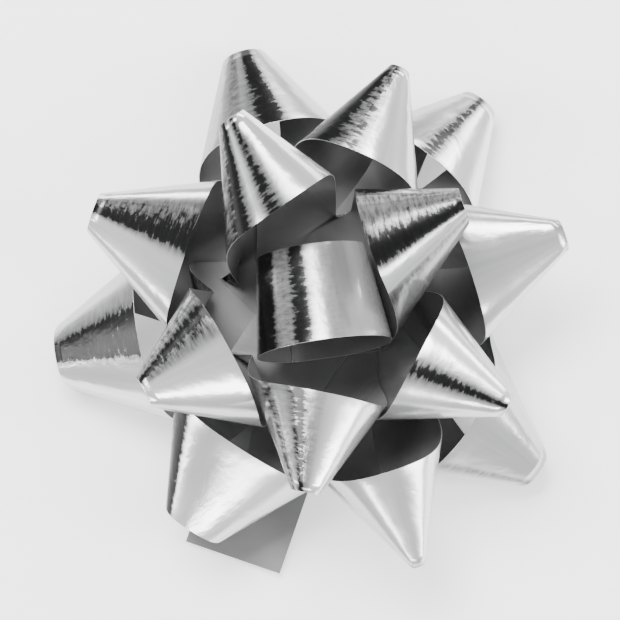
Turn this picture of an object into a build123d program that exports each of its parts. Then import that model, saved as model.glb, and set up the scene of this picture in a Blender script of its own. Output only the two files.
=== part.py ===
"""Ready-made star bow: one silver ribbon laid as fourteen pointed loops and a round centre loop,
stapled to a card disc that carries an adhesive pad and its release liner.  Millimetres, +Z up,
origin on the bow's axis at the underside of the liner."""
from build123d import *
from math import acos, atan, cos, pi, radians, sin
import os

os.makedirs("parts", exist_ok=True)

# --- ribbon -------------------------------------------------------------------------------------
RIBBON = 19.0            # width of the ribbon
FILM = 0.15              # thickness of the film
PLY = 0.30               # height that each ply takes up in the pinned stack
TAIL_LENGTH = 50.0       # cut start of the ribbon, from the axis to its end
TAIL_AZIMUTH = 251.0
LEG_SPREAD = 22.0        # angle between a loop's middle line and each of its two legs
# --- base ---------------------------------------------------------------------------------------
LINER_DIAMETER = 28.0
LINER_THICKNESS = 0.12
TAB_LENGTH = 9.0         # pull tab, measured out from the liner's edge
TAB_WIDTH = 8.0
TAB_AZIMUTH = 0.0
PAD_DIAMETER = 25.0
PAD_THICKNESS = 1.0
CARD_DIAMETER = 32.0
CARD_THICKNESS = 0.5
STACK_GAP = 0.03         # between the card and the first ply
# --- staple -------------------------------------------------------------------------------------
STAPLE_WIDTH = 8.0       # over its two legs
STAPLE_AZIMUTH = 40.0
WIRE_WIDTH = 0.7
WIRE_THICKNESS = 0.45
CLINCH = 2.8             # length of each leg's bent end
WIRE_CLEARANCE = 0.05
# --- centre loop --------------------------------------------------------------------------------
CENTRE_AZIMUTH = 8.0     # direction in which the ribbon runs over the centre loop
CENTRE_RADIUS = 11.7
CENTRE_FLARE = 2.4       # its lower rim's radius is this much larger than its upper rim's
CENTRE_TUCK = 6.0        # ribbon end that lies past the axis, inside the centre loop
CENTRE_MARGIN = 0.7      # flat ribbon beyond each end of the staple

# Cone section, half of it, at unit distance from the tip: a curve from the crown over the side
# to the edge of the flat underside.
SIDE_FULLNESS = 1.28
FOOT_FULLNESS = 1.05
UNDERSIDE = 0.20
# Sections lofted along each half of a cone, each leg, and the centre loop
CONE_STEPS = 8
LEG_STEPS = 7
CENTRE_STEPS = 34

# The pointed loops, in the order in which the ribbon is laid.  Angles in degrees; every length in
# ribbon widths.  reach: axis to the cone's apex.  tip: apex to the ribbon's outer edge.  bend:
# radius at which the loop's slope meets the flat stack.  half_width, crown: the cone's size at
# unit distance from its apex.  Each loop has a first and a second leg, each flat out to its own
# radius in flat, and bulge lifts each leg's outer edge halfway along.  outer and inner say how
# long that edge of a leg keeps the cone's direction, and the stack's.
COLUMNS = (
    "azimuth tilt roll reach tip bend half_width crown flat bulge outer inner".split()
)
LOOPS = {
    "lower_loop_1": (52, 0, -7, 3.08, 0.37, 1.18, 0.59, 0.55,
        (0.68, 0.74), (0.08, 0.11), (0.15, 0.65), (0.30, 0.70)),
    "lower_loop_2": (190, 0, -2, 3.18, 0.58, 1.21, 0.60, 0.60,
        (0.74, 0.74), (0.08, 0.08), (0.40, 0.65), (0.10, 0.75)),
    "lower_loop_3": (324, 0, 14, 3.08, 0.39, 1.32, 0.60, 0.75,
        (0.47, 0.58), (-0.05, 0.03), (0.15, 0.75), (0.35, 0.75)),
    "lower_loop_4": (106, 0, 0, 3.16, 0.42, 1.03, 0.55, 0.50,
        (0.37, 0.42), (0.03, 0.03), (0.20, 0.70), (0.20, 0.70)),
    "lower_loop_5": (240, 11, -8, 3.18, 0.58, 1.03, 0.60, 0.70,
        (0.68, 0.58), (0.03, 0.00), (0.10, 0.60), (0.50, 0.45)),
    "middle_loop_1": (14, 34, 9, 3.13, 0.26, 1.00, 0.60, 0.55,
        (0.42, 0.68), (0.05, 0.05), (0.75, 0.45), (0.50, 0.75)),
    "middle_loop_2": (160, 36, 2, 3.13, 0.34, 0.82, 0.60, 0.50,
        (0.21, 0.47), (0.03, 0.00), (0.75, 0.75), (0.30, 0.75)),
    "middle_loop_3": (290, 25, -4, 3.16, 0.11, 1.00, 0.60, 0.95,
        (0.53, 0.37), (0.03, 0.03), (0.65, 0.30), (0.50, 0.55)),
    "middle_loop_4": (70, 28, -10, 2.87, 0.18, 0.68, 0.60, 0.75,
        (0.37, 0.68), (0.00, 0.05), (0.60, 0.65), (0.15, 0.40)),
    "upper_loop_1": (212, 53, -5, 3.16, 0.26, 0.79, 0.60, 0.60,
        (0.53, 0.74), (-0.05, 0.03), (0.70, 0.30), (0.20, 0.75)),
    "upper_loop_2": (328, 43, 6, 3.03, 0.24, 0.74, 0.54, 0.80,
        (0.32, 0.37), (-0.03, 0.03), (0.70, 0.75), (0.50, 0.20)),
    "upper_loop_3": (118, 55, 10, 3.13, 0.29, 0.63, 0.47, 0.70,
        (0.74, 0.74), (0.00, 0.13), (0.60, 0.20), (0.75, 0.10)),
    "upper_loop_4": (266, 43, -10, 2.92, 0.26, 0.55, 0.53, 0.80,
        (0.32, 0.47), (0.00, 0.08), (0.75, 0.45), (0.25, 0.25)),
    "upper_loop_5": (27, 59, -11, 3.03, 0.32, 0.66, 0.52, 1.00,
        (0.26, 0.37), (-0.08, 0.05), (0.55, 0.20), (0.25, 0.15)),
}

UP = Vector(0, 0, 1)
CARD_TOP = LINER_THICKNESS + PAD_THICKNESS + CARD_THICKNESS


def heading(azimuth):
    """Level unit vector at an azimuth."""
    return Vector(cos(radians(azimuth)), sin(radians(azimuth)), 0)


def ply_height(level):
    """Height of the middle of a ply in the pinned stack."""
    return CARD_TOP + STACK_GAP + FILM / 2 + level * PLY


def bezier(a, b, c, d, t):
    return a * (1 - t) ** 3 + b * 3 * (1 - t) ** 2 * t + c * 3 * (1 - t) * t**2 + d * t**3


def halfway(azimuth, other):
    """Azimuth halfway from one to the other, the short way round."""
    return azimuth + ((other - azimuth + 180) % 360 - 180) / 2


def pass_headings():
    """Headings in which the ribbon crosses the axis: from the tail, between loops, to the centre."""
    azimuths = [row[0] for row in LOOPS.values()]
    between = [
        halfway(old - LEG_SPREAD + 180, new + LEG_SPREAD)
        for old, new in zip(azimuths, azimuths[1:])
    ]
    return [TAIL_AZIMUTH + 180, *between, CENTRE_AZIMUTH + 180]


def cone_section(half_width, crown, steps=200):
    """Points of half the section, and the angle turned from the crown to each, seen from the apex."""
    ends = (
        Vector(0, crown),
        Vector(SIDE_FULLNESS * half_width, crown),
        Vector(FOOT_FULLNESS * half_width, 0.1 * crown),
        Vector(UNDERSIDE, 0),
    )
    points = [bezier(*ends, i / steps) for i in range(steps + 1)]
    rays = [Vector(1, p.X, p.Y) for p in points]
    angles = [0.0]
    for ray, following in zip(rays, rays[1:]):
        angles.append(angles[-1] + radians(ray.get_angle(following)))
    return points, angles


def walk(points, angles, angle):
    """Point of the section at an angle from its crown."""
    i = 1
    while i < len(angles) - 1 and angles[i] < angle:
        i += 1
    share = min((angle - angles[i - 1]) / (angles[i] - angles[i - 1]), 1.0)
    return points[i - 1] + (points[i] - points[i - 1]) * share


def loop_rungs(row, level, start, finish):
    """Rungs across the ribbon, near edge to far edge, from the loop's start to its finish."""
    shape = dict(zip(COLUMNS, row))
    ahead = heading(shape["azimuth"])
    left = UP.cross(ahead)
    tilt, roll = radians(shape["tilt"]), radians(shape["roll"])
    out = ahead * cos(tilt) + UP * sin(tilt)
    rise = UP * cos(tilt) - ahead * sin(tilt)
    side = left * cos(roll) + rise * sin(roll)
    top = rise * cos(roll) - left * sin(roll)
    reach, tip, bend = (shape[key] * RIBBON for key in ("reach", "tip", "bend"))
    apex = UP * (ply_height(level) + PLY / 2) + ahead * bend + out * (reach - bend)
    points, angles = cone_section(shape["half_width"], shape["crown"])
    flat_angle = acos((tip + RIBBON / 2) / reach)
    stretch = (angles[-1] + atan(UNDERSIDE)) / flat_angle
    last = acos((tip + RIBBON) / (reach - bend - 2.0))
    halves = []
    for leg_number, (hand, azimuth) in enumerate(((1, start), (-1, finish))):
        cone = []
        for i in range(CONE_STEPS + 1):
            turn = last * i / CONE_STEPS
            here, after = (
                walk(points, angles, min(turn * stretch + step, angles[-1] - 1e-6 + step))
                for step in (0.0, 1e-3)
            )
            ray = (side * here.X * hand + top * here.Y - out).normalized()
            along = side * (after.X - here.X) * hand + top * (after.Y - here.Y)
            outward = along.cross(ray).normalized() * hand
            shift = outward * (hand * PLY / 2 * i / CONE_STEPS)
            near, far = (apex + ray * (r / cos(turn)) + shift for r in (tip, tip + RIBBON))
            cone.append((near, far))
        leg = heading(azimuth)
        slant = leg.dot(ahead)
        base = UP * ply_height(level + leg_number)
        middle = base + leg * (shape["flat"][leg_number] * RIBBON / slant)
        flat_near = middle - left * (hand * RIBBON / 2 / slant)
        flat_far = middle + left * (hand * RIBBON / 2 / slant)
        (near, far), (near_before, far_before) = cone[-1], cone[-2]
        near_way, far_way = (near - near_before).normalized(), (far - far_before).normalized()
        near_span, far_span = (near - flat_near).length, (far - flat_far).length
        bulge = top * (shape["bulge"][leg_number] * RIBBON)
        legs = []
        for i in range(1, LEG_STEPS + 1):
            t = i / LEG_STEPS
            on_near = bezier(
                near,
                near + near_way * (near_span * shape["outer"][0]),
                flat_near + leg * (near_span * shape["outer"][1]),
                flat_near,
                t,
            )
            on_far = bezier(
                far,
                far + far_way * (far_span * shape["inner"][0]),
                flat_far + leg * (far_span * shape["inner"][1]),
                flat_far,
                t,
            )
            legs.append((on_near + bulge * (4 * t * (1 - t)), on_far))
        across = UP.cross(leg) * (hand * RIBBON / 2)
        legs.append((base - across, base + across))
        halves.append(cone + legs)
    return halves[0][::-1] + halves[1][1:]


def centre_rungs(level):
    """The round loop on top: pressed flat under the staple, its end tucked over its own start."""
    ahead = heading(CENTRE_AZIMUTH + 180)
    across = UP.cross(ahead) * (RIBBON / 2)
    flat = STAPLE_WIDTH / 2 + CENTRE_MARGIN
    whole = 2 * pi + CENTRE_TUCK / CENTRE_RADIUS
    rungs = []
    for i in range(CENTRE_STEPS + 1):
        turn = whole * i / CENTRE_STEPS
        climb = PLY * turn / (2 * pi)
        rims = []
        for side in (-1, 1):
            radius = CENTRE_RADIUS + side * CENTRE_FLARE / 2 - climb / 2
            pressed = radius - (radius**2 - flat**2) ** 0.5
            height = max(0.0, radius * (1 - cos(turn)) - pressed)
            rims.append(
                ahead * (radius * sin(turn))
                + UP * (ply_height(level) + climb + height)
                + across * side
            )
        rungs.append(rims)
    return rungs


def tail_rungs():
    base = UP * ply_height(0)
    ahead = heading(TAIL_AZIMUTH)
    across = UP.cross(ahead) * (RIBBON / 2)
    return [(base + ahead * r - across, base + ahead * r + across) for r in (0, TAIL_LENGTH)]


def rung_plane(rungs, i):
    """Plane that holds the ribbon's cross section at a rung: x along the rung, y through the film."""
    near, far = rungs[i]
    before, after = rungs[max(i - 1, 0)], rungs[min(i + 1, len(rungs) - 1)]
    travel = (after[0] + after[1] - before[0] - before[1]).normalized()
    along = (far - near).normalized()
    through = along.cross(travel).normalized()
    return Plane(origin=(near + far) / 2, x_dir=along, z_dir=along.cross(through))


def staple_leg_places():
    """Centres of the staple's two legs."""
    reach = STAPLE_WIDTH / 2 - WIRE_THICKNESS / 2
    return [heading(STAPLE_AZIMUTH) * reach, heading(STAPLE_AZIMUTH) * -reach]


def pierce(bottom, top):
    """Holes for the staple's legs through the part in hand, from one height to another."""
    for place in staple_leg_places():
        with BuildSketch(Plane(origin=place + UP * bottom, x_dir=heading(STAPLE_AZIMUTH))) as hole:
            Rectangle(WIRE_THICKNESS + 2 * WIRE_CLEARANCE, WIRE_WIDTH + 2 * WIRE_CLEARANCE)
        extrude(hole.sketch, amount=top - bottom, mode=Mode.SUBTRACT)


def lay_ribbon(label, rungs, lowest, highest):
    """Ribbon lofted through its rungs, pierced between two plies, and written out."""
    with BuildPart() as strip:
        for i, (near, far) in enumerate(rungs):
            with BuildSketch(rung_plane(rungs, i)):
                Rectangle((far - near).length, FILM)
        loft(ruled=True)
        pierce(ply_height(lowest) - PLY, ply_height(highest) + PLY)
    strip.part.label = label
    export_step(strip.part, f"parts/{label}.step")
    return strip.part


# --- ribbon -------------------------------------------------------------------------------------
headings = pass_headings()
for number, (name, row) in enumerate(LOOPS.items()):
    rungs = loop_rungs(row, number, headings[number], headings[number + 1] + 180)
    lay_ribbon(name, rungs, number, number + 1)
top_level = len(LOOPS)
lay_ribbon("centre_loop", centre_rungs(top_level), top_level, top_level + 1)
lay_ribbon("ribbon_tail", tail_rungs(), 0, 0)

# --- card disc ----------------------------------------------------------------------------------
with BuildPart() as card:
    with BuildSketch(Plane.XY.offset(LINER_THICKNESS + PAD_THICKNESS)):
        Circle(CARD_DIAMETER / 2)
    extrude(amount=CARD_THICKNESS)
    pierce(0, CARD_TOP + PLY)
card.part.label = "card_disc"
export_step(card.part, "parts/card_disc.step")

# --- staple -------------------------------------------------------------------------------------
crown_height = ply_height(top_level + 1) + FILM / 2 + WIRE_CLEARANCE
clinch_height = CARD_TOP - CARD_THICKNESS - WIRE_CLEARANCE - WIRE_THICKNESS
inside = STAPLE_WIDTH / 2 - WIRE_THICKNESS
with BuildPart() as staple:
    with BuildSketch(Plane(origin=(0, 0, 0), x_dir=heading(STAPLE_AZIMUTH),
                           z_dir=heading(STAPLE_AZIMUTH - 90))):
        with BuildLine():
            Polyline(
                (0, crown_height + WIRE_THICKNESS),
                (STAPLE_WIDTH / 2, crown_height + WIRE_THICKNESS),
                (STAPLE_WIDTH / 2, clinch_height),
                (STAPLE_WIDTH / 2 - CLINCH, clinch_height),
                (STAPLE_WIDTH / 2 - CLINCH, clinch_height + WIRE_THICKNESS),
                (inside, clinch_height + WIRE_THICKNESS),
                (inside, crown_height),
                (0, crown_height),
                close=True,
            )
        make_face()
        mirror(about=Plane.YZ)
    extrude(amount=WIRE_WIDTH / 2, both=True)
staple.part.label = "staple"
export_step(staple.part, "parts/staple.step")

# --- adhesive pad, with a hollow where the clinched legs press into it ----------------------------
with BuildPart() as pad:
    with BuildSketch(Plane.XY.offset(LINER_THICKNESS)):
        Circle(PAD_DIAMETER / 2)
    extrude(amount=PAD_THICKNESS)
    with BuildSketch(Plane(origin=(0, 0, clinch_height - WIRE_CLEARANCE),
                           x_dir=heading(STAPLE_AZIMUTH))):
        Rectangle(STAPLE_WIDTH + 2 * WIRE_CLEARANCE, WIRE_WIDTH + 2 * WIRE_CLEARANCE)
    extrude(amount=PAD_THICKNESS, mode=Mode.SUBTRACT)
pad.part.label = "adhesive_pad"
export_step(pad.part, "parts/adhesive_pad.step")

# --- release liner with its pull tab --------------------------------------------------------------
with BuildPart() as liner:
    with BuildSketch(Plane(origin=(0, 0, 0), x_dir=heading(TAB_AZIMUTH))):
        Circle(LINER_DIAMETER / 2)
        with Locations((LINER_DIAMETER / 4 + TAB_LENGTH / 2, 0)):
            Rectangle(LINER_DIAMETER / 2 + TAB_LENGTH, TAB_WIDTH)
    extrude(amount=LINER_THICKNESS)
    tab_corners = liner.edges().filter_by(Axis.Z).sort_by(Axis.X)[-2:]
    fillet(tab_corners, TAB_WIDTH / 4)
liner.part.label = "release_liner"
export_step(liner.part, "parts/release_liner.step")
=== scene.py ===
"""Ready-made star bow in silver film: fourteen pointed loops and a round centre loop of one ribbon,
stapled to a card disc with an adhesive pad and a release liner.  Metres, in the frame's own axes."""
from math import acos, atan, cos, pi, radians, sin

import bmesh
import bpy
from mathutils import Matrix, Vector


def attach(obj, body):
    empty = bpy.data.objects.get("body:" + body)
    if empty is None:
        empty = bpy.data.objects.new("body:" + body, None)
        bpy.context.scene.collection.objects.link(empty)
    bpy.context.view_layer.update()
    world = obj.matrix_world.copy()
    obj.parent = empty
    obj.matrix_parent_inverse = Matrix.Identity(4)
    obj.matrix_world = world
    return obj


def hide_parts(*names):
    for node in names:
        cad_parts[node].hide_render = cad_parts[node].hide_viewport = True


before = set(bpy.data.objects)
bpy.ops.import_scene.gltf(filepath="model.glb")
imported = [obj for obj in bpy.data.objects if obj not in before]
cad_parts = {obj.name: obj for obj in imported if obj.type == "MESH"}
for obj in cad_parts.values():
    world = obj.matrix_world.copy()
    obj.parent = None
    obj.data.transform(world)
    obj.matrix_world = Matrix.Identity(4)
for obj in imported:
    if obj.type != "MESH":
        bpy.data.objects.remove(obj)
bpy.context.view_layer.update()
BODY = "bow"

# --- sizes in millimetres, as in the bow's own drawing -------------------------------------------
MM = 0.001
RIBBON = 19.0            # width of the ribbon
FILM = 0.15
PLY = 0.30               # height that each ply takes up in the pinned stack
TAIL_LENGTH = 50.0
TAIL_AZIMUTH = 251.0
LEG_SPREAD = 22.0        # angle between a loop's middle line and each of its two legs
LINER_THICKNESS = 0.12
PAD_THICKNESS = 1.0
CARD_THICKNESS = 0.5
STACK_GAP = 0.03         # between the card and the first ply
FIRST_PLY = LINER_THICKNESS + PAD_THICKNESS + CARD_THICKNESS + STACK_GAP + FILM / 2
STAPLE_WIDTH = 8.0
CENTRE_AZIMUTH = 8.0     # direction in which the ribbon runs over the centre loop
CENTRE_RADIUS = 11.7
CENTRE_FLARE = 2.4       # its lower rim's radius is this much larger than its upper rim's
CENTRE_TUCK = 6.0        # ribbon end that lies past the axis, inside the centre loop
CENTRE_MARGIN = 0.7      # flat ribbon beyond each end of the staple
CENTRE_FLAT = STAPLE_WIDTH / 2 + CENTRE_MARGIN
BEND_GAP = 2.0           # each cone stops this far short of the loop's bend

# Cone section, half of it, at unit distance from the tip: a curve from the crown over the side
# to the edge of the flat underside.
SIDE_FULLNESS = 1.28
FOOT_FULLNESS = 1.05
FOOT_RISE = 0.1
UNDERSIDE = 0.20
SECTION_POINTS = 200
# Smallest angles used to read the section's direction, and to stay inside its end
AIM_STEP = 1e-3
END_GAP = 1e-5
# How finely each half of a cone, each leg, the centre loop, the tail and the width are divided
CONE_STEPS = 26
LEG_STEPS = 18
CENTRE_STEPS = 90
TAIL_STEPS = 24
ACROSS = 10

# The pointed loops, in the order in which the ribbon is laid.  Angles in degrees; every length in
# ribbon widths.  reach: axis to the cone's apex.  tip: apex to the ribbon's outer edge.  bend:
# radius at which the loop's slope meets the flat stack.  half_width, crown: the cone's size at
# unit distance from its apex.  Each loop has a first and a second leg, each flat out to its own
# radius in flat, and bulge lifts each leg's outer edge halfway along.  outer and inner say how
# long that edge of a leg keeps the cone's direction, and the stack's.
COLUMNS = (
    "azimuth tilt roll reach tip bend half_width crown flat bulge outer inner".split()
)
LOOPS = {
    "lower_loop_1": (52, 0, -7, 3.08, 0.37, 1.18, 0.59, 0.55,
        (0.68, 0.74), (0.08, 0.11), (0.15, 0.65), (0.30, 0.70)),
    "lower_loop_2": (190, 0, -2, 3.18, 0.58, 1.21, 0.60, 0.60,
        (0.74, 0.74), (0.08, 0.08), (0.40, 0.65), (0.10, 0.75)),
    "lower_loop_3": (324, 0, 14, 3.08, 0.39, 1.32, 0.60, 0.75,
        (0.47, 0.58), (-0.05, 0.03), (0.15, 0.75), (0.35, 0.75)),
    "lower_loop_4": (106, 0, 0, 3.16, 0.42, 1.03, 0.55, 0.50,
        (0.37, 0.42), (0.03, 0.03), (0.20, 0.70), (0.20, 0.70)),
    "lower_loop_5": (240, 11, -8, 3.18, 0.58, 1.03, 0.60, 0.70,
        (0.68, 0.58), (0.03, 0.00), (0.10, 0.60), (0.50, 0.45)),
    "middle_loop_1": (14, 34, 9, 3.13, 0.26, 1.00, 0.60, 0.55,
        (0.42, 0.68), (0.05, 0.05), (0.75, 0.45), (0.50, 0.75)),
    "middle_loop_2": (160, 36, 2, 3.13, 0.34, 0.82, 0.60, 0.50,
        (0.21, 0.47), (0.03, 0.00), (0.75, 0.75), (0.30, 0.75)),
    "middle_loop_3": (290, 25, -4, 3.16, 0.11, 1.00, 0.60, 0.95,
        (0.53, 0.37), (0.03, 0.03), (0.65, 0.30), (0.50, 0.55)),
    "middle_loop_4": (70, 28, -10, 2.87, 0.18, 0.68, 0.60, 0.75,
        (0.37, 0.68), (0.00, 0.05), (0.60, 0.65), (0.15, 0.40)),
    "upper_loop_1": (212, 53, -5, 3.16, 0.26, 0.79, 0.60, 0.60,
        (0.53, 0.74), (-0.05, 0.03), (0.70, 0.30), (0.20, 0.75)),
    "upper_loop_2": (328, 43, 6, 3.03, 0.24, 0.74, 0.54, 0.80,
        (0.32, 0.37), (-0.03, 0.03), (0.70, 0.75), (0.50, 0.20)),
    "upper_loop_3": (118, 55, 10, 3.13, 0.29, 0.63, 0.47, 0.70,
        (0.74, 0.74), (0.00, 0.13), (0.60, 0.20), (0.75, 0.10)),
    "upper_loop_4": (266, 43, -10, 2.92, 0.26, 0.55, 0.53, 0.80,
        (0.32, 0.47), (0.00, 0.08), (0.75, 0.45), (0.25, 0.25)),
    "upper_loop_5": (27, 59, -11, 3.03, 0.32, 0.66, 0.52, 1.00,
        (0.26, 0.37), (-0.08, 0.05), (0.55, 0.20), (0.25, 0.15)),
}

# Painted reflection bands on the bright side, from one side of a loop's crown to the other: places
# in ribbon widths along the ribbon, and painted tones from 0, black reflection, to 1, clear silver.
PAINTED_REFLECTIONS = {
    "lower_loop_1": ((-0.9, 0.55), (-0.35, 0.7), (-0.1, 0.66), (-0.03, 0.12), (0.05, 0.15),
        (0.12, 0.86), (0.5, 0.95), (1, 0.75)),
    "lower_loop_2": ((-1, 0.6), (-0.5, 0.85), (-0.2, 0.74), (-0.12, 0.02), (0.16, 0),
        (0.24, 0.42), (0.45, 0.7), (1, 0.55)),
    "lower_loop_3": ((-1, 0.62), (-0.3, 0.8), (0.2, 0.78), (0.3, 0.2), (0.36, 0.76), (0.6, 0.86),
        (1, 0.66)),
    "lower_loop_4": ((-1, 0.38), (-0.45, 0.62), (-0.26, 0.5), (-0.22, 0.08), (-0.18, 0.55),
        (-0.06, 0.4), (0, 0), (0.1, 0.02), (0.18, 0.62), (0.6, 0.84), (1, 0.6)),
    "lower_loop_5": ((-1, 0.6), (-0.4, 0.86), (0.2, 0.78), (0.4, 0.84), (0.48, 0.02), (0.62, 0),
        (0.7, 0.44), (1, 0.42)),
    "middle_loop_1": ((-0.8, 0.5), (-0.32, 0.68), (-0.11, 0.62), (-0.08, 1), (-0.05, 0.66),
        (0.32, 0.84), (0.8, 0.88)),
    "middle_loop_2": ((-0.8, 0.7), (-0.4, 0.82), (-0.1, 0.76), (-0.04, 0.02), (0.06, 0),
        (0.11, 0.4), (0.16, 0.1), (0.22, 0.48), (0.27, 0.16), (0.34, 0.72), (0.8, 0.8)),
    "middle_loop_3": ((-0.8, 0.62), (-0.24, 0.9), (-0.08, 0.7), (0.08, 0.8), (0.4, 0.66),
        (0.8, 0.5)),
    "middle_loop_4": ((-0.8, 0.25), (-0.37, 0.34), (-0.32, 0.02), (-0.21, 0), (-0.18, 0.4),
        (-0.11, 0.22), (-0.05, 0.34), (0, 0.08), (0.05, 0.72), (0.24, 0.9), (0.48, 0.78),
        (0.8, 0.55)),
    "upper_loop_1": ((-0.8, 0.66), (-0.24, 0.84), (0.1, 0.78), (0.16, 0.08), (0.21, 0.6),
        (0.26, 0.04), (0.34, 0.05), (0.38, 0.6), (0.45, 0.12), (0.53, 0.46), (0.8, 0.4)),
    "upper_loop_2": ((-0.8, 0.46), (-0.4, 0.7), (-0.19, 0.95), (-0.02, 0.6), (0.04, 0.03),
        (0.1, 0.05), (0.15, 0.78), (0.48, 0.84), (0.8, 0.6)),
    "upper_loop_3": ((-0.8, 0.25), (-0.44, 0.34), (-0.38, 0.02), (-0.29, 0), (-0.24, 0.85),
        (-0.18, 0.72), (-0.13, 0.04), (-0.08, 0.06), (-0.03, 0.56), (0.08, 0.8), (0.4, 0.92),
        (0.8, 0.6)),
    "upper_loop_4": ((-0.8, 0.62), (-0.28, 0.9), (-0.04, 0.82), (0.02, 0.34), (0.08, 0.58),
        (0.13, 0.04), (0.19, 0.08), (0.24, 0.56), (0.34, 0.44), (0.4, 0.03), (0.46, 0.5),
        (0.8, 0.4)),
    "upper_loop_5": ((-0.8, 0.3), (-0.42, 0.1), (-0.35, 0.5), (-0.27, 0.08), (-0.22, 0.62),
        (-0.18, 0.34), (0.02, 0.3), (0.06, 0), (0.19, 0.02), (0.24, 0.82), (0.36, 0.88),
        (0.45, 0.12), (0.51, 0.6), (0.8, 0.5)),
    "centre_loop": ((-1.5, 0.4), (-0.97, 0.5), (-0.92, 0.03), (-0.66, 0.02), (-0.61, 0.62),
        (-0.52, 0.3), (-0.44, 0.62), (-0.41, 0.02), (-0.29, 0.02), (-0.25, 0.52), (-0.1, 0.62),
        (-0.04, 0.5), (0.05, 0.66), (0.22, 0.8), (0.27, 1), (0.6, 1), (0.72, 0.7), (1.4, 0.5)),
    "ribbon_tail": ((-3, 0.7), (3, 0.8)),
}

UP = Vector((0, 0, 1))


# --- where the ribbon goes -------------------------------------------------------------------------
def heading(azimuth):
    """Level unit vector at an azimuth."""
    return Vector((cos(radians(azimuth)), sin(radians(azimuth)), 0))


def ply_height(level):
    """Height of the middle of a ply in the pinned stack."""
    return FIRST_PLY + level * PLY


def bezier(a, b, c, d, t):
    return a * (1 - t) ** 3 + b * 3 * (1 - t) ** 2 * t + c * 3 * (1 - t) * t**2 + d * t**3


def halfway(azimuth, other):
    """Azimuth halfway between two others, the short way round."""
    return azimuth + ((other - azimuth + 180) % 360 - 180) / 2


def pass_headings():
    """Headings in which the ribbon crosses the axis: from the tail, between loops, to the centre."""
    azimuths = [row[0] for row in LOOPS.values()]
    between = [
        halfway(old - LEG_SPREAD + 180, new + LEG_SPREAD)
        for old, new in zip(azimuths, azimuths[1:])
    ]
    return [TAIL_AZIMUTH + 180, *between, CENTRE_AZIMUTH + 180]


def cone_section(half_width, crown):
    """Points down one side of a cone's section, and the angle from the crown to each."""
    ends = (
        Vector((0, crown)),
        Vector((SIDE_FULLNESS * half_width, crown)),
        Vector((FOOT_FULLNESS * half_width, FOOT_RISE * crown)),
        Vector((UNDERSIDE, 0)),
    )
    points = [bezier(*ends, i / SECTION_POINTS) for i in range(SECTION_POINTS + 1)]
    rays = [Vector((1, p.x, p.y)) for p in points]
    angles = [0.0]
    for ray, following in zip(rays, rays[1:]):
        angles.append(angles[-1] + ray.angle(following))
    return points, angles


def walk(points, angles, angle):
    """Point of a cone's section at an angle from its crown."""
    i = 1
    while i < len(angles) - 1 and angles[i] < angle:
        i += 1
    share = min((angle - angles[i - 1]) / (angles[i] - angles[i - 1]), 1.0)
    return points[i - 1].lerp(points[i], share)


def loop_rungs(row, level, start, finish):
    """Rungs across the ribbon, outer edge to inner edge, from the loop's start to its finish."""
    shape = dict(zip(COLUMNS, row))
    ahead = heading(shape["azimuth"])
    left = UP.cross(ahead)
    tilt, roll = radians(shape["tilt"]), radians(shape["roll"])
    out = ahead * cos(tilt) + UP * sin(tilt)
    rise = UP * cos(tilt) - ahead * sin(tilt)
    side = left * cos(roll) + rise * sin(roll)
    top = rise * cos(roll) - left * sin(roll)
    reach, tip, bend = (shape[key] * RIBBON for key in ("reach", "tip", "bend"))
    apex = UP * (ply_height(level) + PLY / 2) + ahead * bend + out * (reach - bend)
    points, angles = cone_section(shape["half_width"], shape["crown"])
    flat_angle = acos((tip + RIBBON / 2) / reach)
    stretch = (angles[-1] + atan(UNDERSIDE)) / flat_angle
    last = acos((tip + RIBBON) / (reach - bend - BEND_GAP))
    halves = []
    for leg_number, (hand, azimuth) in enumerate(((1, start), (-1, finish))):
        cone = []
        for i in range(CONE_STEPS + 1):
            turn = last * i / CONE_STEPS
            here, after = (
                walk(points, angles, min(turn * stretch + step, angles[-1] - END_GAP + step))
                for step in (0.0, AIM_STEP)
            )
            ray = (side * here.x * hand + top * here.y - out).normalized()
            along = side * (after.x - here.x) * hand + top * (after.y - here.y)
            outward = along.cross(ray).normalized() * hand
            shift = outward * (hand * PLY / 2 * i / CONE_STEPS)
            cone.append([apex + ray * (r / cos(turn)) + shift for r in (tip, tip + RIBBON)])
        leg = heading(azimuth)
        slant = leg.dot(ahead)
        base = UP * ply_height(level + leg_number)
        middle = base + leg * (shape["flat"][leg_number] * RIBBON / slant)
        wide = left * (hand * RIBBON / 2 / slant)
        edges = []
        for k, flat_end, name in ((0, middle - wide, "outer"), (1, middle + wide, "inner")):
            point, before = cone[-1][k], cone[-2][k]
            span = (point - flat_end).length
            leave, arrive = shape[name]
            way = (point - before).normalized()
            edges.append(
                (point, point + way * span * leave, flat_end + leg * span * arrive, flat_end)
            )
        bulge = top * (shape["bulge"][leg_number] * RIBBON)
        legs = []
        for i in range(1, LEG_STEPS + 1):
            t = i / LEG_STEPS
            legs.append([bezier(*edges[0], t) + bulge * (4 * t * (1 - t)), bezier(*edges[1], t)])
        across = UP.cross(leg) * (hand * RIBBON / 2)
        legs.append([base - across, base + across])
        halves.append(cone + legs)
    return halves[0][::-1] + halves[1][1:]


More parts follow.
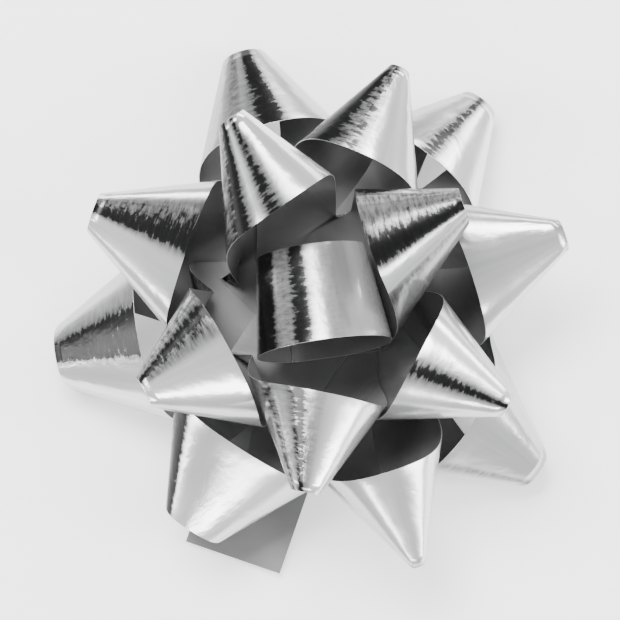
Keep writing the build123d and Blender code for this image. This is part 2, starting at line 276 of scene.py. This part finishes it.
def centre_rungs(level):
    """The round loop on top: pressed flat under the staple, its end tucked over its own start."""
    ahead = heading(CENTRE_AZIMUTH + 180)
    across = UP.cross(ahead) * (RIBBON / 2)
    whole = 2 * pi + CENTRE_TUCK / CENTRE_RADIUS
    rungs = []
    for i in range(CENTRE_STEPS + 1):
        turn = whole * i / CENTRE_STEPS
        climb = PLY * turn / (2 * pi)
        rims = []
        for side in (-1, 1):
            radius = CENTRE_RADIUS + side * CENTRE_FLARE / 2 - climb / 2
            pressed = radius - (radius**2 - CENTRE_FLAT**2) ** 0.5
            height = max(0.0, radius * (1 - cos(turn)) - pressed)
            rims.append(
                ahead * (radius * sin(turn)) + UP * (ply_height(level) + climb + height)
                + across * side
            )
        rungs.append(rims)
    return rungs


def tail_rungs():
    """The cut start of the ribbon, from its end in to the axis."""
    base = UP * ply_height(0)
    ahead = heading(TAIL_AZIMUTH)
    across = UP.cross(ahead) * (RIBBON / 2)
    middles = [
        base + ahead * (TAIL_LENGTH * i / TAIL_STEPS) for i in range(TAIL_STEPS, -1, -1)
    ]
    return [[middle - across, middle + across] for middle in middles]


# --- finishes --------------------------------------------------------------------------------------
SERRATION_DEPTH = 1.7    # how far a painted reflection band's rim runs ragged, in tone
RAGGED_BELOW = 0.72      # painted reflection tones darker than this run ragged, the more so the darker they are
REFLECTION_STREAK_DEPTH = 0.12     # faint painted reflection streaks along the ribbon's length, in tone


class Finish:
    """A material with a Principled shader, and short ways to add nodes to it."""

    def __init__(self, name, **sockets):
        self.material = bpy.data.materials.new(name)
        self.material.use_nodes = True
        self.tree = self.material.node_tree
        self.shader = self.tree.nodes["Principled BSDF"]
        for socket, value in sockets.items():
            self.shader.inputs[socket.replace("_", " ")].default_value = value

    def add(self, kind, inputs=None, **settings):
        node = self.tree.nodes.new(kind)
        for key, value in settings.items():
            setattr(node, key, value)
        for key, value in (inputs or {}).items():
            if isinstance(value, bpy.types.NodeSocket):
                self.tree.links.new(value, node.inputs[key])
            else:
                node.inputs[key].default_value = value
        return node

    def link(self, output, socket):
        self.tree.links.new(output, self.shader.inputs[socket])

    def ramp(self, factor, stops):
        node = self.add("ShaderNodeValToRGB", {"Fac": factor})
        marks = node.color_ramp.elements
        while len(marks) < len(stops):
            marks.new(0.5)
        for mark, (place, grey) in zip(marks, stops):
            mark.position = place
            mark.color = (*grey, 1) if hasattr(grey, "__len__") else (grey, grey, grey, 1)
        return node.outputs["Color"]

    def ribbon_way(self, along, over):
        """Ribbon coordinates: its length and width, in ribbon widths, times along and over."""
        uv = self.add("ShaderNodeUVMap", uv_map="ribbon")
        return self.add(
            "ShaderNodeMapping", {"Vector": uv.outputs["UV"], "Scale": (along, over, 1)}
        ).outputs["Vector"]


def silver_foil():
    """Mirror-like film: painted reflection bands run across the ribbon in its colour, with serrated
    rims, crinkles and satin.
    """
    foil = Finish("silver_foil", Metallic=0.72, IOR=1.5)
    painted_reflection = foil.add("ShaderNodeAttribute", attribute_name="painted_reflection")
    serration = foil.add(
        "ShaderNodeTexNoise",
        {"Vector": foil.ribbon_way(9.0, 26.0), "Scale": 1.0, "Detail": 3.0, "Roughness": 0.65},
    )
    reflection_streaks = foil.add(
        "ShaderNodeTexNoise",
        {"Vector": foil.ribbon_way(24.0, 0.9), "Scale": 1.0, "Detail": 2.0, "Distortion": 0.3},
    )
    swing = foil.add("ShaderNodeMath", {0: serration.outputs["Fac"], 1: SERRATION_DEPTH,
                                         2: -SERRATION_DEPTH / 2}, operation="MULTIPLY_ADD")
    darkness = foil.add("ShaderNodeMath", {0: RAGGED_BELOW, 1: painted_reflection.outputs["Fac"]},
                        operation="SUBTRACT", use_clamp=True)
    jagged = foil.add("ShaderNodeMath", {0: swing.outputs[0], 1: darkness.outputs[0]},
                      operation="MULTIPLY")
    hazy = foil.add("ShaderNodeMath", {0: reflection_streaks.outputs["Fac"], 1: REFLECTION_STREAK_DEPTH,
                                        2: -REFLECTION_STREAK_DEPTH / 2}, operation="MULTIPLY_ADD")
    ragged = foil.add("ShaderNodeMath", {0: painted_reflection.outputs["Fac"], 1: jagged.outputs[0]},
                      operation="ADD")
    total = foil.add("ShaderNodeMath", {0: ragged.outputs[0], 1: hazy.outputs[0]},
                     operation="ADD", use_clamp=True)
    # Base colour paints the reflections: near black for a painted dark reflection, up to bright silver
    # for a painted clear one.
    foil.link(foil.ramp(total.outputs[0], (
        (0.0, 0.008), (0.22, 0.014), (0.28, 0.10), (0.42, 0.22), (0.62, 0.42), (0.80, 0.61),
        (0.92, 0.86), (1.0, 0.98),
    )), "Base Color")
    satin = foil.add("ShaderNodeTexNoise", {"Vector": foil.ribbon_way(1.4, 0.9), "Scale": 1.0,
                                            "Detail": 2.0})
    gloss = foil.add("ShaderNodeMapRange", {"Value": satin.outputs["Fac"], "From Min": 0.35,
                                            "From Max": 0.7, "To Min": 0.16, "To Max": 0.30})
    foil.link(gloss.outputs[0], "Roughness")
    crinkle = foil.add("ShaderNodeTexNoise", {"Vector": foil.ribbon_way(3.0, 2.2), "Scale": 1.0,
                                              "Detail": 4.0, "Distortion": 0.4})
    bump = foil.add("ShaderNodeBump", {"Height": crinkle.outputs["Fac"], "Strength": 0.22,
                                       "Distance": 0.0009})
    foil.link(bump.outputs["Normal"], "Normal")
    return foil.material


def dull_film():
    """Grey back of the film, faintly ribbed across its length."""
    back = Finish("dull_film", Metallic=0.25, IOR=1.5)
    cloud = back.add("ShaderNodeTexNoise", {"Vector": back.ribbon_way(1.2, 0.7), "Scale": 1.0,
                                            "Detail": 3.0})
    greys = ((0.3, 0.125), (0.5, 0.16), (0.72, 0.205))
    back.link(back.ramp(cloud.outputs["Fac"], greys), "Base Color")
    ribs = back.add("ShaderNodeTexNoise", {"Vector": back.ribbon_way(40.0, 1.5), "Scale": 1.0,
                                           "Detail": 2.0})
    rough = back.add("ShaderNodeMapRange", {"Value": ribs.outputs["Fac"], "To Min": 0.42,
                                            "To Max": 0.58})
    back.link(rough.outputs[0], "Roughness")
    bump = back.add("ShaderNodeBump", {"Height": ribs.outputs["Fac"], "Strength": 0.15,
                                       "Distance": 0.0002})
    back.link(bump.outputs["Normal"], "Normal")
    return back.material


def cut_edge():
    """Bright, slightly rough edge that the knife leaves on the film."""
    edge = Finish("cut_edge", Metallic=0.6, IOR=1.5)
    place = edge.add("ShaderNodeTexCoord").outputs["Object"]
    grain = edge.add("ShaderNodeTexNoise", {"Vector": place, "Scale": 900.0, "Detail": 2.0})
    edge.link(edge.ramp(grain.outputs["Fac"], ((0.3, 0.72), (0.7, 0.92))), "Base Color")
    rough = edge.add("ShaderNodeMapRange", {"Value": grain.outputs["Fac"], "To Min": 0.25,
                                            "To Max": 0.4})
    edge.link(rough.outputs[0], "Roughness")
    return edge.material


def grained_finish(name, dark, light, scale, rough, metallic=0.0, strength=0.2, distance=0.0002):
    """A finish with fine grain, such as card, foam, paper or drawn wire."""
    grained = Finish(name, Metallic=metallic)
    place = grained.add("ShaderNodeTexCoord").outputs["Object"]
    grain = grained.add("ShaderNodeTexNoise", {"Vector": place, "Scale": scale, "Detail": 5.0})
    grained.link(grained.ramp(grain.outputs["Fac"], ((0.32, dark), (0.68, light))), "Base Color")
    uneven = grained.add("ShaderNodeMapRange", {"Value": grain.outputs["Fac"], "To Min": rough[0],
                                              "To Max": rough[1]})
    grained.link(uneven.outputs[0], "Roughness")
    bump = grained.add("ShaderNodeBump", {"Height": grain.outputs["Fac"], "Strength": strength,
                                        "Distance": distance})
    grained.link(bump.outputs["Normal"], "Normal")
    return grained.material


FOIL, BACK, EDGE = silver_foil(), dull_film(), cut_edge()
FINISHES = {
    "card_disc": grained_finish(
        "grey_card", (0.62, 0.61, 0.58), (0.78, 0.77, 0.74), 700.0, (0.75, 0.9)
    ),
    "adhesive_pad": grained_finish(
        "foam_pad", (0.80, 0.80, 0.78), (0.92, 0.92, 0.90), 1400.0, (0.6, 0.85),
        strength=0.5, distance=0.0004,
    ),
    "release_liner": grained_finish(
        "liner_paper", (0.82, 0.80, 0.74), (0.92, 0.90, 0.86), 500.0, (0.35, 0.5), strength=0.1
    ),
    "staple": grained_finish(
        "staple_wire", (0.42, 0.43, 0.45), (0.66, 0.67, 0.70), 1600.0, (0.25, 0.4),
        metallic=1.0, strength=0.1,
    ),
}
for node, finish in FINISHES.items():
    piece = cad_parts[node]
    for material_slot in piece.material_slots:
        material_slot.material = finish


def painted_reflection_at(stops, place):
    """Painted reflection tone at a place along the ribbon, between the stops on either side of it."""
    if place <= stops[0][0]:
        return stops[0][1]
    for (start, low), (end, high) in zip(stops, stops[1:]):
        if place <= end:
            return low + (high - low) * (place - start) / (end - start)
    return stops[-1][1]


def soft_painted_reflection(stops, place, reach=0.05, tries=5):
    """Mean painted reflection tone a little way either side of a place, so that a band's rim can run
    ragged.
    """
    readings = [painted_reflection_at(stops, place + reach * i / tries) for i in range(-tries, tries + 1)]
    return sum(readings) / len(readings)


# --- ribbon pieces -----------------------------------------------------------------------------------
def ribbon_lengths(rungs, laid):
    """Place of each rung along the whole ribbon, in ribbon widths, after what is laid already."""
    lengths = [laid]
    for before, rung in zip(rungs, rungs[1:]):
        step = (rung[0] + rung[1]) / 2 - (before[0] + before[1]) / 2
        lengths.append(lengths[-1] + step.length / RIBBON)
    return lengths


def grow_strip(mesh, rungs, lengths):
    """Grow the strip rung by rung, and give each vertex's place along and over the ribbon."""
    shares = [j / ACROSS for j in range(ACROSS + 1)]
    row = [mesh.verts.new(rungs[0][0].lerp(rungs[0][1], share) * MM) for share in shares]
    for pair in zip(row, row[1:]):
        mesh.edges.new(pair)
    places = {vert: (lengths[0], share) for vert, share in zip(row, shares)}
    for rung, length in zip(rungs[1:], lengths[1:]):
        edges = [mesh.edges.get(pair) for pair in zip(row, row[1:])]
        grown = bmesh.ops.extrude_edge_only(mesh, edges=edges)["geom"]
        fresh = {part for part in grown if isinstance(part, bmesh.types.BMVert)}
        row = [
            next(edge.other_vert(vert) for edge in vert.link_edges if edge.other_vert(vert) in fresh)
            for vert in row
        ]
        for vert, share in zip(row, shares):
            vert.co = rung[0].lerp(rung[1], share) * MM
            places[vert] = (length, share)
    return places


def turn_bright_side(mesh, facing):
    """Turn the strip so that its bright side points along facing at the middle of its length."""
    bmesh.ops.recalc_face_normals(mesh, faces=mesh.faces)
    mesh.normal_update()
    mesh.faces.ensure_lookup_table()
    middle = mesh.faces[len(mesh.faces) // 2]
    if middle.normal.dot(facing) < 0:
        bmesh.ops.reverse_faces(mesh, faces=mesh.faces)


def number_in_order(mesh, places):
    """Number points, edges and faces in the order laid, so that every run gives the same mesh."""
    for number, vert in enumerate(places):
        vert.index = number
    mesh.verts.sort()
    count = len(places)

    def edge_number(edge):
        low, high = sorted(vert.index for vert in edge.verts)
        return low * count + high

    mesh.edges.sort(key=edge_number)
    mesh.faces.sort(key=lambda face: min(vert.index for vert in face.verts))


def film_wall(piece):
    """Give the strip the film's thickness, with its dull back and its cut edge."""
    wall = piece.modifiers.new("film", "SOLIDIFY")
    wall.thickness = FILM * MM
    wall.offset = 0.0
    wall.material_offset = 1
    wall.material_offset_rim = 2
    evened = piece.modifiers.new("even_shading", "WEIGHTED_NORMAL")
    evened.mode = "FACE_AREA"
    evened.weight = 100


def ribbon_piece(name, rungs, facing, laid):
    """The film of one node, laid on from the length already laid.  Gives the new length laid."""
    lengths = ribbon_lengths(rungs, laid)
    mesh = bmesh.new()
    painted_reflection_layer = mesh.verts.layers.float.new("painted_reflection")
    places = grow_strip(mesh, rungs, lengths)
    number_in_order(mesh, places)
    turn_bright_side(mesh, facing)
    layer = mesh.loops.layers.uv.new("ribbon")
    for face in mesh.faces:
        face.smooth = True
        for corner in face.loops:
            corner[layer].uv = places[corner.vert]
    # Each vertex gets its painted reflection tone, counted from the loop's crown; the foil's base
    # colour paints the reflection bands from it.
    crown = lengths[len(rungs) // 2]
    for vert, (length, _) in places.items():
        vert[painted_reflection_layer] = soft_painted_reflection(PAINTED_REFLECTIONS[name], length - crown)
    data = bpy.data.meshes.new(f"{name}_film")
    mesh.to_mesh(data)
    mesh.free()
    for finish in (FOIL, BACK, EDGE):
        data.materials.append(finish)
    piece = bpy.data.objects.new(f"{name}_film", data)
    bpy.context.collection.objects.link(piece)
    film_wall(piece)
    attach(piece, BODY)
    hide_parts(name)
    return lengths[-1]


headings = pass_headings()
laid = ribbon_piece("ribbon_tail", tail_rungs(), -UP, 0.0)
for number, (name, row) in enumerate(LOOPS.items()):
    shape = dict(zip(COLUMNS, row))
    tilt = radians(shape["tilt"])
    crown_way = UP * cos(tilt) - heading(shape["azimuth"]) * sin(tilt)
    rungs = loop_rungs(row, number, headings[number], headings[number + 1] + 180)
    laid = ribbon_piece(name, rungs, crown_way, laid)
ribbon_piece("centre_loop", centre_rungs(len(LOOPS)), UP, laid)

# --- camera, floor and light, in metres ----------------------------------------------------------
VIEW_ELEVATION = 81.0
VIEW_DISTANCE = 0.70
VIEW_WIDTH = 0.118       # what the frame spans at the bow
SENSOR_WIDTH = 36.0
CLIPPING = (0.01, 20.0)
AIM = Vector((-0.0015, -0.001, 0.012))
FLOOR_SIZE = 3.0
FLOOR_GLOW = 0.42
ROOM_GREY = (0.80, 0.81, 0.82, 1)
ROOM_STRENGTH = 0.9
# Softboxes round the bow: azimuth and elevation in degrees, distance, width and height, watts
SOFTBOXES = {
    "key": (120, 62, 1.2, (0.7, 0.5), 26),
    "left": (185, 28, 1.2, (0.35, 0.9), 14),
    "right": (350, 35, 1.2, (0.35, 0.9), 14),
    "front": (265, 40, 1.3, (0.9, 0.25), 10),
    "rear": (70, 25, 1.3, (0.9, 0.25), 10),
}


def view_camera():
    """Looks down at the bow from in front."""
    data = bpy.data.cameras.new("camera")
    data.sensor_width = SENSOR_WIDTH
    data.lens = SENSOR_WIDTH * VIEW_DISTANCE / VIEW_WIDTH
    data.clip_start, data.clip_end = CLIPPING
    camera = bpy.data.objects.new("camera", data)
    back = Vector((0, -cos(radians(VIEW_ELEVATION)), sin(radians(VIEW_ELEVATION))))
    camera.location = AIM + back * VIEW_DISTANCE
    camera.rotation_euler = back.to_track_quat("Z", "Y").to_euler()
    bpy.context.collection.objects.link(camera)
    bpy.context.scene.camera = camera


def plain_floor():
    """A white surface under the bow, a little self-lit so that it stays pale."""
    ground = bmesh.new()
    bmesh.ops.create_grid(ground, x_segments=1, y_segments=1, size=FLOOR_SIZE)
    data = bpy.data.meshes.new("floor")
    ground.to_mesh(data)
    ground.free()
    floor = bpy.data.objects.new("floor", data)
    bpy.context.collection.objects.link(floor)
    paper = Finish("floor_white", Roughness=0.9, Base_Color=(0.95, 0.95, 0.95, 1),
                   Emission_Color=(1, 1, 1, 1), Emission_Strength=FLOOR_GLOW)
    data.materials.append(paper.material)


def softbox(name, azimuth, elevation, distance, size, power):
    """A soft rectangular lamp that faces the bow."""
    light = bpy.data.lights.new(name, "AREA")
    light.shape = "RECTANGLE"
    light.size, light.size_y = size
    light.energy = power
    lamp = bpy.data.objects.new(name, light)
    way = heading(azimuth) * cos(radians(elevation)) + UP * sin(radians(elevation))
    lamp.location = way * distance
    lamp.rotation_euler = way.to_track_quat("Z", "Y").to_euler()
    bpy.context.collection.objects.link(lamp)


def studio_room():
    """An even grey all round, for the film to reflect."""
    world = bpy.data.worlds.new("studio")
    world.use_nodes = True
    background = world.node_tree.nodes["Background"]
    background.inputs["Color"].default_value = ROOM_GREY
    background.inputs["Strength"].default_value = ROOM_STRENGTH
    bpy.context.scene.world = world


view_camera()
plain_floor()
for name, settings in SOFTBOXES.items():
    softbox(name, *settings)
studio_room()
